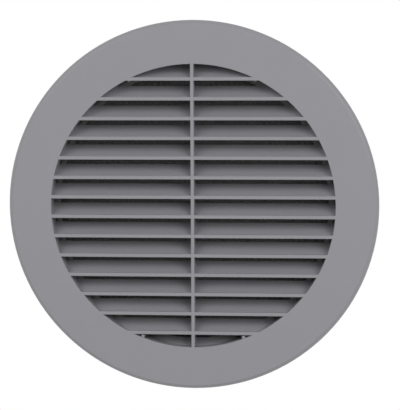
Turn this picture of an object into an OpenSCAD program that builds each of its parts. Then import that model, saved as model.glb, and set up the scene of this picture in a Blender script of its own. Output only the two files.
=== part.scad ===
// Round vent grille: a bevelled flange, sloping louvre blades, a spigot and an insect screen.
// The duct axis runs along Y. The flange faces -Y, the spigot points to +Y and +Z is up.
// The origin is on the duct axis, in the plane where the flange meets the wall.

/* [Flange] */
// Outside diameter of the flange
flange_d = 189; // [175:0.5:230]
// Depth of the flange, from the wall to its front face
flange_depth = 4; // [3.5:0.5:8]
// Thickness of the flange's front skin
flange_skin = 2; // [1.2:0.1:2.8]
// Thickness of the rim that turns back to the wall
flange_rim = 2; // [1.2:0.1:4]
// Width of the bevelled edge, seen from the front
bevel_w = 2.2; // [1:0.1:4]
// Depth of the bevelled edge
bevel_depth = 3; // [1:0.1:3.3]
// Half of the angle that the bevel's curve turns through
bevel_bulge = 24; // [5:1:30]

/* [Opening and spigot] */
// Diameter of the opening, which is also the inside of the spigot
opening_d = 145; // [120:0.5:160]
// Wall thickness of the spigot
spigot_wall = 1.5; // [1:0.1:3]
// Length of the spigot behind the wall plane
spigot_length = 25; // [16:0.5:60]
// Length of the taper at the spigot's free end
lead_in_length = 2; // [0.5:0.1:4]
// Depth of the taper at the spigot's free end
lead_in_depth = 0.6; // [0.2:0.1:0.9]
// Chamfer on the front edges of the opening, the blades and the mullion
edge_break = 0.2; // [0.1:0.05:0.4]

/* [Blades] */
// Distance from one blade to the next
blade_pitch = 10; // [8.5:0.5:16]
// Height of a blade's flat front face
blade_face = 1.8; // [1.2:0.1:3]
// Depth of the level lip behind the front face
blade_lip = 1.9; // [1:0.1:3]
// Slope of a blade, rising towards the back
blade_angle = 34; // [20:1:42]
// Thickness of the sloping part
blade_thickness = 1.5; // [1:0.1:1.8]
// Depth of a blade from the front plane to its rear edge
blade_depth = 9.5; // [8:0.5:13]
// Width of the upright bar that crosses the blades
mullion_w = 1.7; // [1:0.1:4]

/* [Insect screen] */
// Distance from one strand of the net to the next
mesh_pitch = 3; // [2.5:0.5:6]
// Width of a strand
strand_w = 0.6; // [0.4:0.1:1]
// Thickness of each of the two layers of strands
strand_t = 0.5; // [0.3:0.1:0.8]
// Thickness of the web between the two layers
web_t = 0.2; // [0.2:0.1:0.5]
// Width of the net's solid border
border_w = 3; // [2:0.5:6]
// Clearance between the border and the spigot's inside
border_clearance = 0.4; // [0.2:0.1:1]
// Number of net cells from one pierced cell to the next
pierced_every = 4; // [3:1:8]

/* [Screen lugs] */
// Angle of the two upper lugs from the vertical
upper_lug_angle = 26.2; // [18:0.1:60]
// Angle of the two lower lugs from the vertical
lower_lug_angle = 21.1; // [18:0.1:60]
// Width of a lug
lug_w = 1.6; // [1:0.1:4]
// Height of a lug's rib above the wall of the opening
rib_height = 1.3; // [0.6:0.1:2]
// Distance of a rib's front end behind the front plane
rib_setback = 0.6; // [0.3:0.1:2]
// Height of the hook that holds the screen, above the wall of the opening
hook_height = 1.6; // [1:0.1:3]
// Length of the hook along the duct
hook_length = 2.2; // [1:0.1:4]
// Play between the screen and the hooks
screen_play = 0.1; // [0.05:0.05:0.5]
// Width of the slots on both sides of a lug
slot_w = 0.9; // [0.5:0.1:1.5]
// Distance of the slots' ends from the flange's skin and from the hook
slot_margin = 0.6; // [0.4:0.1:1.5]

/* [Hidden] */
$fn = 180;

plastic_grey = [0.53, 0.53, 0.545];
net_grey = [0.26, 0.25, 0.24];

flange_r = flange_d / 2;
opening_r = opening_d / 2;
spigot_r = opening_r + spigot_wall;
face_r = flange_r - bevel_w;
rim_inside_r = flange_r - flange_rim;
skin_back_z = flange_depth - flange_skin;

// Blades and mullion run this far into the wall, so that they are one piece with it
root = spigot_wall / 2;
blade_rise = (blade_depth - blade_lip) * tan(blade_angle);
blade_rear_h = blade_thickness / cos(blade_angle);
blade_bottom_lip = blade_depth - (blade_face + blade_rise - blade_rear_h) / tan(blade_angle);
rows = ceil(opening_r / blade_pitch);

border_t = 2 * strand_t + web_t;
border_r = opening_r - border_clearance;
border_inside_r = border_r - border_w;
strand_end_r = border_r - border_w / 2;
cell = mesh_pitch - strand_w;
strands = floor((border_inside_r - strand_w) / mesh_pitch);
pierced = floor(border_inside_r / (pierced_every * mesh_pitch));

screen_back_depth = blade_depth + border_t;
hook_depth = screen_back_depth + screen_play;
slot_start_depth = flange_skin + slot_margin;
slot_end_depth = hook_depth + hook_length + slot_margin;
lug_angles = [
    upper_lug_angle,
    -upper_lug_angle,
    180 - lower_lug_angle,
    180 + lower_lug_angle
];

bevel_steps = 12;
overlap = 0.5;

// All depths below are measured back from the front plane of the flange
function z_at(depth) = flange_depth - depth;

// The bevel is an arc from the front face to the side of the flange
function bevel_points() =
    let (
        chord = [bevel_w, -bevel_depth],
        length = norm(chord),
        radius = length / (2 * sin(bevel_bulge)),
        middle = [face_r, flange_depth] + chord / 2,
        inward = [-bevel_depth, -bevel_w] / length,
        centre = middle + inward * radius * cos(bevel_bulge),
        start = atan2(flange_depth - centre[1], face_r - centre[0])
    )
    [
        for (i = [0 : bevel_steps])
            let (angle = start - 2 * bevel_bulge * i / bevel_steps)
            centre + radius * [cos(angle), sin(angle)]
    ];

// Flange and spigot are one turned section
module shell() {
    rotate_extrude()
        polygon(concat(
            [
                [opening_r, -spigot_length],
                [opening_r, flange_depth - edge_break],
                [opening_r + edge_break, flange_depth]
            ],
            bevel_points(),
            [
                [flange_r, 0],
                [rim_inside_r, 0],
                [rim_inside_r, skin_back_z],
                [spigot_r, skin_back_z],
                [spigot_r, lead_in_length - spigot_length],
                [spigot_r - lead_in_depth, -spigot_length]
            ]
        ));
}

// A blade's section, as height above its lower edge and distance in front of the front plane
function blade_section() = [
    [edge_break, 0],
    [blade_face - edge_break, 0],
    [blade_face, -edge_break],
    [blade_face, -blade_lip],
    [blade_face + blade_rise, -blade_depth],
    [blade_face + blade_rise - blade_rear_h, -blade_depth],
    [0, -blade_bottom_lip],
    [0, -edge_break]
];

module blade() {
    rotate([90, 0, 90])
        linear_extrude(height = 2 * spigot_r, center = true)
            polygon(blade_section());
}

// The lowest blade rises out of the bottom of the opening, behind the flange
module blades() {
    for (row = [-rows - 1 : rows - 1])
        translate([0, (row + 0.5) * blade_pitch - blade_face / 2, flange_depth])
            blade();
}

module mullion() {
    rotate([90, 0, 0])
        linear_extrude(height = 2 * spigot_r, center = true)
            polygon([
                [-mullion_w / 2, z_at(blade_depth)],
                [mullion_w / 2, z_at(blade_depth)],
                [mullion_w / 2, z_at(edge_break)],
                [mullion_w / 2 - edge_break, flange_depth],
                [-mullion_w / 2 + edge_break, flange_depth],
                [-mullion_w / 2, z_at(edge_break)]
            ]);
}

module louvre() {
    intersection() {
        union() {
            blades();
            mullion();
        }
        translate([0, 0, z_at(blade_depth + overlap)])
            cylinder(h = blade_depth + 2 * overlap, r = opening_r + root);
    }
}

// A rib in front of the screen and a sloping hook behind it, on a narrow strip of the wall
module screen_lug() {
    translate([-lug_w / 2, opening_r - rib_height, z_at(blade_depth)])
        cube([lug_w, rib_height + root, blade_depth - rib_setback]);
    translate([-lug_w / 2, 0, 0])
        rotate([90, 0, 90])
            linear_extrude(height = lug_w)
                polygon([
                    [opening_r + root, z_at(hook_depth)],
                    [opening_r - hook_height, z_at(hook_depth)],
                    [opening_r - hook_height, z_at(hook_depth + hook_length / 4)],
                    [opening_r, z_at(hook_depth + hook_length)],
                    [opening_r + root, z_at(hook_depth + hook_length)]
                ]);
}

module lug_slots() {
    for (side = [-1, 1])
        translate([
            side * (lug_w + slot_w) / 2 - slot_w / 2,
            opening_r - overlap,
            z_at(slot_end_depth)
        ])
            cube([slot_w, spigot_wall + 2 * overlap, slot_end_depth - slot_start_depth]);
}

module grille() {
    color(plastic_grey)
        rotate([90, 0, 0])
            difference() {
                union() {
                    shell();
                    louvre();
                    for (angle = lug_angles)
                        rotate([0, 0, angle])
                            screen_lug();
                }
                for (angle = lug_angles)
                    rotate([0, 0, angle])
                        lug_slots();
            }
}

// Strands of one layer lie side by side, from one side of the border to the other
module strand_layer() {
    for (i = [-strands : strands - 1])
        let (
            x = (i + 0.5) * mesh_pitch,
            reach = sqrt(strand_end_r * strand_end_r - x * x)
        )
        translate([x - strand_w / 2, -reach, 0])
            cube([strand_w, 2 * reach, strand_t + web_t / 2]);
}

// Cells of the net that are pierced right through its web
module pierced_cells() {
    step = pierced_every * mesh_pitch;
    for (i = [-pierced : pierced])
        for (j = [-pierced : pierced])
            if (norm([i, j]) * step + cell < border_inside_r)
                translate([i * step - cell / 2, j * step - cell / 2, -overlap])
                    cube([cell, cell, border_t + 2 * overlap]);
}

module net() {
    difference() {
        union() {
            translate([0, 0, strand_t])
                cylinder(h = web_t, r = strand_end_r);
            translate([0, 0, border_t])
                mirror([0, 0, 1])
                    strand_layer();
            rotate([0, 0, 90])
                strand_layer();
        }
        pierced_cells();
    }
}

module border() {
    difference() {
        cylinder(h = border_t, r = border_r);
        translate([0, 0, -overlap])
            cylinder(h = border_t + 2 * overlap, r = border_inside_r);
    }
}

// The upright strands lie in front, against the rear edges of the blades
module insect_screen() {
    color(net_grey)
        rotate([90, 0, 0])
            translate([0, 0, z_at(screen_back_depth)])
                union() {
                    border();
                    net();
                }
}

grille();
insect_screen();
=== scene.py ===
"""Looks of a round vent grille: a moulded grille with sloping blades and a net behind them."""
import math

import bpy
from mathutils import Matrix, Vector


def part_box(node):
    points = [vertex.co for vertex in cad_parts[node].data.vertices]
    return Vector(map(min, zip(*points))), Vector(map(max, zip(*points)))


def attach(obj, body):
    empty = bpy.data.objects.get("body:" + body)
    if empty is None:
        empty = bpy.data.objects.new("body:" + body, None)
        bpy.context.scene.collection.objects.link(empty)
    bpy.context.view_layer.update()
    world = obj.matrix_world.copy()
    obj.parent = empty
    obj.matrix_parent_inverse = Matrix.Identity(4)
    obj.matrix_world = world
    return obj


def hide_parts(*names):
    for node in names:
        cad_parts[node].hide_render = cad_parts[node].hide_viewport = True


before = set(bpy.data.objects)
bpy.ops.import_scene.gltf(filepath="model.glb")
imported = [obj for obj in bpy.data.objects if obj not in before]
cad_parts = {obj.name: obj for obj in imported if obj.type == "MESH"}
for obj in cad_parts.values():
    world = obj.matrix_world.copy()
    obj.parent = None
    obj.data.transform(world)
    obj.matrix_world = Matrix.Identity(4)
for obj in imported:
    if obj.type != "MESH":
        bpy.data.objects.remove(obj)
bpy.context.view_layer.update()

# Sizes are in metres, and the duct axis runs along Y
MM = 0.001

grille_low, grille_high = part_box("grille")
screen_low, screen_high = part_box("insect_screen")
flange_r = grille_high.x
front_y = grille_low.y
spigot_end_y = grille_high.y
screen_r = screen_high.x
screen_front_y = screen_low.y
screen_back_y = screen_high.y
screen_t = screen_back_y - screen_front_y

# Net of the insect screen
mesh_pitch = 3.0 * MM
strand_w = 0.6 * MM
border_w = 3.0 * MM
border_fillet = 0.3 * MM
weld_w = 0.95 * MM
strand_wander = 0.12 * MM
wander_length = 22 * MM


class Wire:
    """The output of a node, which can be used in sums as a number is."""

    def __init__(self, board, socket):
        self.board = board
        self.socket = socket

    def maths(self, operation, first, second=0.0):
        return self.board.node("ShaderNodeMath", {"operation": operation}, {0: first, 1: second})

    def __add__(self, other):
        return self.maths("ADD", self, other)

    def __sub__(self, other):
        return self.maths("SUBTRACT", self, other)

    def __mul__(self, other):
        return self.maths("MULTIPLY", self, other)

    def __truediv__(self, other):
        return self.maths("DIVIDE", self, other)

    def __radd__(self, other):
        return self.maths("ADD", other, self)

    def __rsub__(self, other):
        return self.maths("SUBTRACT", other, self)

    def __rmul__(self, other):
        return self.maths("MULTIPLY", other, self)

    def __rtruediv__(self, other):
        return self.maths("DIVIDE", other, self)

    def __lt__(self, other):
        return self.maths("LESS_THAN", self, other)

    def __gt__(self, other):
        return self.maths("GREATER_THAN", self, other)

    def root(self):
        return self.maths("SQRT", self)

    def largest(self, other):
        return self.maths("MAXIMUM", self, other)


class Board:
    """A node tree that grows by one node at a time."""

    def __init__(self, tree):
        self.tree = tree

    def node(self, kind, settings=None, inputs=None, output=0):
        """Adds a node, sets it up, wires it, and gives back one of its outputs."""
        made = self.tree.nodes.new(kind)
        for name, value in (settings or {}).items():
            if name == "stops":
                self.set_stops(made.color_ramp, value)
            else:
                setattr(made, name, value)
        for name, value in (inputs or {}).items():
            if isinstance(value, list):
                for wire in value:
                    self.tree.links.new(wire.socket, made.inputs[name])
            elif isinstance(value, Wire):
                self.tree.links.new(value.socket, made.inputs[name])
            else:
                made.inputs[name].default_value = value
        return Wire(self, made.outputs[output]) if len(made.outputs) else None

    @staticmethod
    def set_stops(ramp, stops):
        for _ in range(len(stops) - len(ramp.elements)):
            ramp.elements.new(1.0)
        for element, (place, grey) in zip(ramp.elements, stops):
            element.position = place
            element.color = (grey, grey, grey, 1.0)


# Materials

def new_material(name):
    material = bpy.data.materials.new(name)
    material.use_nodes = True
    material.node_tree.nodes.clear()
    return material, Board(material.node_tree)


def noise(board, place, size, detail=2.0, roughness=0.5):
    """Cloudy noise from 0 to 1, with lumps of the given size in metres."""
    return board.node(
        "ShaderNodeTexNoise",
        {"noise_dimensions": "3D"},
        {"Vector": place, "Scale": 1.0 / size, "Detail": detail, "Roughness": roughness},
    )


def moulded_plastic(name, colour, grain, mottle, gloss_low, gloss_high, bump):
    """Satin moulded plastic: a fine spark-eroded grain, faint cloudy flow and uneven gloss."""
    material, board = new_material(name)
    place = board.node("ShaderNodeTexCoord", output="Object")
    cloud = noise(board, place, 26 * MM, 3.0, 0.55)
    flow = noise(board, place, 5.5 * MM, 2.0)
    fine = noise(board, place, grain, 3.0, 0.6)
    shade = (cloud - 0.5) * mottle + (flow - 0.5) * (mottle * 0.5) + (fine - 0.5) * (mottle * 0.6)
    darker = tuple(c * 0.8 for c in colour) + (1.0,)
    lighter = tuple(c * 1.2 for c in colour) + (1.0,)
    tint = board.node(
        "ShaderNodeMix",
        {"data_type": "RGBA"},
        {0: shade + 0.5, 6: darker, 7: lighter},
        output=2,
    )
    gloss = gloss_low + (gloss_high - gloss_low) * flow
    relief = board.node(
        "ShaderNodeBump",
        None,
        {"Strength": 1.0, "Distance": bump, "Height": fine},
    )
    surface = board.node(
        "ShaderNodeBsdfPrincipled",
        None,
        {"Base Color": tint, "Roughness": gloss, "IOR": 1.49, "Normal": relief},
    )
    board.node("ShaderNodeOutputMaterial", None, {"Surface": surface})
    return material


grille_plastic = moulded_plastic(
    "grey satin moulding", (0.215, 0.213, 0.228), 0.35 * MM, 0.10, 0.40, 0.50, 0.006 * MM
)
net_plastic = moulded_plastic(
    "dark net plastic", (0.060, 0.057, 0.053), 0.25 * MM, 0.25, 0.50, 0.66, 0.010 * MM
)


# Insect screen

def net_tree():
    """The net and its border, laid out in the XY plane and then stood up across the duct axis."""
    tree = bpy.data.node_groups.new("net with border", "GeometryNodeTree")
    sockets = {}
    for name, kind in (
        ("Pitch", "NodeSocketFloat"),
        ("Strand width", "NodeSocketFloat"),
        ("Thickness", "NodeSocketFloat"),
        ("Outer radius", "NodeSocketFloat"),
        ("Border width", "NodeSocketFloat"),
        ("Border fillet", "NodeSocketFloat"),
        ("Weld width", "NodeSocketFloat"),
        ("Wander", "NodeSocketFloat"),
        ("Wander length", "NodeSocketFloat"),
        ("Middle of the depth", "NodeSocketFloat"),
        ("Strands each way", "NodeSocketInt"),
        ("Material", "NodeSocketMaterial"),
    ):
        sockets[name] = tree.interface.new_socket(name, in_out="INPUT", socket_type=kind).identifier
    tree.interface.new_socket("Geometry", in_out="OUTPUT", socket_type="NodeSocketGeometry")
    board = Board(tree)
    given = tree.nodes.new("NodeGroupInput")

    def size(name):
        return Wire(board, given.outputs[name])

    pitch = size("Pitch")
    count = size("Strands each way")
    layer = size("Thickness") * 0.5
    border_middle_r = size("Outer radius") - size("Border width") * 0.5
    first = (count - 1.0) * pitch * -0.5

    def combine(x=0.0, y=0.0, z=0.0):
        return board.node("ShaderNodeCombineXYZ", None, {"X": x, "Y": y, "Z": z})

    def place_part(axis):
        place = board.node("GeometryNodeInputPosition")
        return board.node("ShaderNodeSeparateXYZ", None, {0: place}, output=axis)

    def reach_at(distance):
        """Half of the length of a strand at this distance from the middle."""
        return (border_middle_r * border_middle_r - distance * distance).largest(0.0).root()

    strand = board.node(
        "GeometryNodeMeshCylinder",
        {"fill_type": "NGON"},
        {"Vertices": 8, "Side Segments": 24, "Radius": 0.5, "Depth": 1.0},
    )
    upright_row = board.node(
        "GeometryNodeMeshLine",
        {"mode": "OFFSET"},
        {
            "Count": count,
            "Start Location": combine(x=first, z=layer * 0.5),
            "Offset": combine(x=pitch),
        },
    )
    level_row = board.node(
        "GeometryNodeMeshLine",
        {"mode": "OFFSET"},
        {
            "Count": count,
            "Start Location": combine(y=first, z=layer * -0.5),
            "Offset": combine(y=pitch),
        },
    )

    def strands(row, axis, turn):
        length = reach_at(place_part(axis)) * 2.0
        return board.node(
            "GeometryNodeInstanceOnPoints",
            None,
            {
                "Points": row,
                "Instance": strand,
                "Rotation": turn,
                "Scale": combine(size("Strand width"), layer, length),
            },
        )

    quarter = math.pi / 2
    upright = strands(upright_row, "X", combine(-quarter, 0.0, 0.0))
    level = strands(level_row, "Y", combine(quarter, 0.0, quarter))

    # A small lump of plastic joins the strands at each crossing
    span = (count - 1.0) * pitch
    crossings = board.node(
        "GeometryNodeMeshGrid",
        None,
        {"Size X": span, "Size Y": span, "Vertices X": count, "Vertices Y": count},
    )
    x = place_part("X")
    y = place_part("Y")
    crossings = board.node(
        "GeometryNodeDeleteGeometry",
        {"domain": "POINT"},
        {"Geometry": crossings, "Selection": (x * x + y * y) > (border_middle_r * border_middle_r)},
    )
    lump = board.node(
        "GeometryNodeMeshUVSphere",
        None,
        {"Segments": 8, "Rings": 5, "Radius": 0.5},
    )
    welds = board.node(
        "GeometryNodeInstanceOnPoints",
        None,
        {
            "Points": crossings,
            "Instance": lump,
            "Scale": combine(size("Weld width"), size("Weld width"), size("Thickness") * 0.92),
        },
    )
    joined = board.node("GeometryNodeJoinGeometry", None, {"Geometry": [upright, level, welds]})
    real = board.node("GeometryNodeRealizeInstances", None, {"Geometry": joined})

    # The strands wander a little from straight lines, as in any net
    place = board.node("GeometryNodeInputPosition")
    drift = board.node(
        "ShaderNodeTexNoise",
        {"noise_dimensions": "3D"},
        {"Vector": place, "Scale": 1.0 / size("Wander length"), "Detail": 1.0},
        output="Color",
    )
    centred = board.node("ShaderNodeVectorMath", {"operation": "SUBTRACT"}, {0: drift, 1: (0.5, 0.5, 0.5)})
    flat = board.node("ShaderNodeVectorMath", {"operation": "MULTIPLY"}, {0: centred, 1: (1.0, 1.0, 0.0)})
    offset = board.node(
        "ShaderNodeVectorMath",
        {"operation": "SCALE"},
        {0: flat, "Scale": size("Wander") * 2.0},
    )
    wandered = board.node("GeometryNodeSetPosition", None, {"Geometry": real, "Offset": offset})

    section = board.node(
        "GeometryNodeCurvePrimitiveQuadrilateral",
        {"mode": "RECTANGLE"},
        {"Width": size("Border width"), "Height": size("Thickness")},
    )
    section = board.node(
        "GeometryNodeFilletCurve",
        {"mode": "POLY"},
        {"Curve": section, "Radius": size("Border fillet"), "Count": 3},
    )
    path = board.node(
        "GeometryNodeCurvePrimitiveCircle",
        {"mode": "RADIUS"},
        {"Resolution": 180, "Radius": border_middle_r},
    )
    border = board.node("GeometryNodeCurveToMesh", None, {"Curve": path, "Profile Curve": section})
    whole = board.node("GeometryNodeJoinGeometry", None, {"Geometry": [wandered, border]})
    stood = board.node(
        "GeometryNodeTransform",
        None,
        {
            "Geometry": whole,
            "Translation": combine(y=size("Middle of the depth")),
            "Rotation": (quarter, 0.0, 0.0),
        },
    )
    smooth = board.node("GeometryNodeSetShadeSmooth", None, {"Geometry": stood, "Shade Smooth": True})
    real = board.node("GeometryNodeRealizeInstances", None, {"Geometry": smooth})
    finished = board.node(
        "GeometryNodeSetMaterial", None, {"Geometry": real, "Material": size("Material")}
    )
    board.node("NodeGroupOutput", None, {"Geometry": finished})
    return tree, sockets


def grown(name, tree, sockets, values):
    """Runs a tree on an empty mesh and gives back its result as a plain mesh."""
    seed = bpy.data.objects.new(name + " seed", bpy.data.meshes.new(name + " seed"))
    bpy.context.scene.collection.objects.link(seed)
    modifier = seed.modifiers.new("tree", "NODES")
    modifier.node_group = tree
    for label, value in values.items():
        modifier[sockets[label]] = value
    depsgraph = bpy.context.evaluated_depsgraph_get()
    mesh = bpy.data.meshes.new_from_object(seed.evaluated_get(depsgraph))
    bpy.data.objects.remove(seed)
    piece = bpy.data.objects.new(name, mesh)
    bpy.context.scene.collection.objects.link(piece)
    return piece


def make_insect_screen():
    tree, sockets = net_tree()
    clear_r = screen_r - border_w
    strands_each_way = 2 * int((clear_r - strand_w) / mesh_pitch)
    net = grown("insect_net", tree, sockets, {
        "Pitch": mesh_pitch,
        "Strand width": strand_w,
        "Thickness": screen_t,
        "Outer radius": screen_r,
        "Border width": border_w,
        "Border fillet": border_fillet,
        "Weld width": weld_w,
        "Wander": strand_wander,
        "Wander length": wander_length,
        "Middle of the depth": (screen_front_y + screen_back_y) / 2,
        "Strands each way": strands_each_way,
        "Material": net_plastic,
    })
    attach(net, "root")
    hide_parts("insect_screen")


def finish_grille():
    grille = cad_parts["grille"]
    grille.data.materials.clear()
    grille.data.materials.append(grille_plastic)


# Stage: a pale floor under the object, and a dark card against the spigot's rear end that paints shade into the
# slits

floor_z = -0.25
floor_size = 5.0
floor_near_r = 0.3
floor_far_r = 0.6
floor_white_near = 0.8
card_r = 74 * MM
card_gap = 0.3 * MM

# Small dark cards behind the slots beside the two lower lugs, which paint shade into those slots
slot_card_angle = 21.1
slot_card_r = 75.7 * MM
slot_card_y = 10.5 * MM
slot_card_w = 8 * MM
slot_card_h = 3.6 * MM


def seen_directly(board):
    """1 for rays from the camera, a reflection or glass, and 0 for light that falls on things."""
    camera = board.node("ShaderNodeLightPath", output="Is Camera Ray")
    glossy = board.node("ShaderNodeLightPath", output="Is Glossy Ray")
    clear = board.node("ShaderNodeLightPath", output="Is Transmission Ray")
    return camera.largest(glossy).largest(clear)


def plane(name, size, place, facing):
    """A square that faces one way."""
    half = size / 2
    mesh = bpy.data.meshes.new(name)
    mesh.from_pydata([(-half, -half, 0), (half, -half, 0), (half, half, 0), (-half, half, 0)], [], [(0, 1, 2, 3)])
    made = bpy.data.objects.new(name, mesh)
    made.matrix_world = Matrix.Translation(place) @ Vector(facing).to_track_quat("Z", "Y").to_matrix().to_4x4()
    bpy.context.scene.collection.objects.link(made)
    return made


def make_floor():
    material, board = new_material("pale floor")
    place = board.node("ShaderNodeTexCoord", output="Object")
    away = board.node("ShaderNodeVectorMath", {"operation": "LENGTH"}, {0: place}, output="Value")
    share = board.node(
        "ShaderNodeMapRange",
        {"interpolation_type": "SMOOTHSTEP"},
        {"Value": away, "From Min": floor_near_r, "From Max": floor_far_r,
         "To Min": floor_white_near, "To Max": 1.0},
    )
    matte = board.node("ShaderNodeBsdfDiffuse", None, {"Color": (0.82, 0.82, 0.82, 1.0)})
    white = board.node("ShaderNodeEmission", None, {"Color": (1.0, 1.0, 1.0, 1.0), "Strength": 1.0})
    surface = board.node("ShaderNodeMixShader", None, {0: share * seen_directly(board), 1: matte, 2: white})
    board.node("ShaderNodeOutputMaterial", None, {"Surface": surface})
    floor = plane("floor", floor_size, Vector((0.0, 0.0, floor_z)), (0, 0, 1))
    floor.data.materials.append(material)


def make_card():
    """A dark card that paints shade into the slits: it closes the view through them from in front. It is clear
    from behind, so the net shows there.
    """
    material, board = new_material("painted shade card")
    # Painted shade: the card is dark grey from in front and clear from behind
    matte = board.node("ShaderNodeBsdfDiffuse", None, {"Color": (0.15, 0.15, 0.15, 1.0)})
    clear = board.node("ShaderNodeBsdfTransparent")
    behind = board.node("ShaderNodeNewGeometry", output="Backfacing")
    surface = board.node("ShaderNodeMixShader", None, {0: behind, 1: matte, 2: clear})
    board.node("ShaderNodeOutputMaterial", None, {"Surface": surface})
    corners = 96
    turns = [2 * math.pi * i / corners for i in range(corners)]
    mesh = bpy.data.meshes.new("painted_shade_card")
    card_y = spigot_end_y + card_gap
    points = [(card_r * math.cos(t), card_y, card_r * math.sin(t)) for t in turns]
    mesh.from_pydata(points, [], [tuple(range(corners))])
    card = bpy.data.objects.new("painted_shade_card", mesh)
    bpy.context.scene.collection.objects.link(card)
    card.data.materials.append(material)
    for side in (-1, 1):
        make_slot_card(side, material)


def make_slot_card(side, material):
    """A dark card that paints shade into the slots beside one lower lug, closing the view through them."""
    angle = math.radians(side * slot_card_angle)
    out = Vector((math.sin(angle), 0.0, -math.cos(angle)))
    across = Vector((math.cos(angle), 0.0, math.sin(angle)))
    middle = out * slot_card_r + Vector((0.0, slot_card_y, 0.0))
    corners = [
        middle + across * (slot_card_w / 2 * a) + out * (slot_card_h / 2 * b)
        for a, b in ((-1, 1), (1, 1), (1, -1), (-1, -1))
    ]
    mesh = bpy.data.meshes.new("slot_shade_card")
    mesh.from_pydata(corners, [], [(0, 1, 2, 3)])
    card = bpy.data.objects.new("slot_shade_card", mesh)
    bpy.context.scene.collection.objects.link(card)
    card.data.materials.append(material)


# Light

ambient = 0.45


def make_world():
    world = bpy.data.worlds.new("white surroundings")
    bpy.context.scene.world = world
    world.use_nodes = True
    world.node_tree.nodes.clear()
    board = Board(world.node_tree)
    strength = ambient + (1.0 - ambient) * seen_directly(board)
    light = board.node("ShaderNodeBackground", None, {"Color": (1.0, 1.0, 1.0, 1.0), "Strength": strength})
    board.node("ShaderNodeOutputWorld", None, {"Surface": light})


def soft_box(name, azimuth, elevation, distance, size, watts):
    """A square soft lamp that faces the object. Azimuth 0 is in front and 90 to the right."""
    a = math.radians(azimuth)
    e = math.radians(elevation)
    back = Vector((math.sin(a) * math.cos(e), -math.cos(a) * math.cos(e), math.sin(e)))
    lamp = bpy.data.lights.new(name, "AREA")
    lamp.shape = "SQUARE"
    lamp.size = size
    lamp.energy = watts
    made = bpy.data.objects.new(name, lamp)
    made.location = back * distance
    made.rotation_mode = "QUATERNION"
    made.rotation_quaternion = back.to_track_quat("Z", "Y")
    bpy.context.scene.collection.objects.link(made)
    return made


# Camera

camera_place = Vector((0.0692, -0.8074, 0.0990))
camera_forward = Vector((-0.08041, 0.98944, -0.12051))
camera_up = Vector((-0.00478, 0.12051, 0.99269))
camera_lens = 140.49
camera_sensor = 36.0


def make_camera():
    data = bpy.data.cameras.new("camera")
    data.lens = camera_lens
    data.sensor_width = camera_sensor
    data.clip_start = 0.01
    data.clip_end = 50.0
    camera = bpy.data.objects.new("camera", data)
    right = camera_forward.cross(camera_up).normalized()
    up = right.cross(camera_forward).normalized()
    turn = Matrix((right, up, -camera_forward.normalized())).transposed()
    camera.matrix_world = Matrix.Translation(camera_place) @ turn.to_4x4()
    bpy.context.scene.collection.objects.link(camera)
    bpy.context.scene.camera = camera


make_camera()
finish_grille()
make_insect_screen()
make_floor()
make_card()
make_world()
soft_box("right soft box", 44, 21, 1.2, 0.75, 8.0)
soft_box("left soft box", -46, 29, 1.2, 0.85, 6.7)
bpy.context.scene.view_settings.view_transform = "Standard"
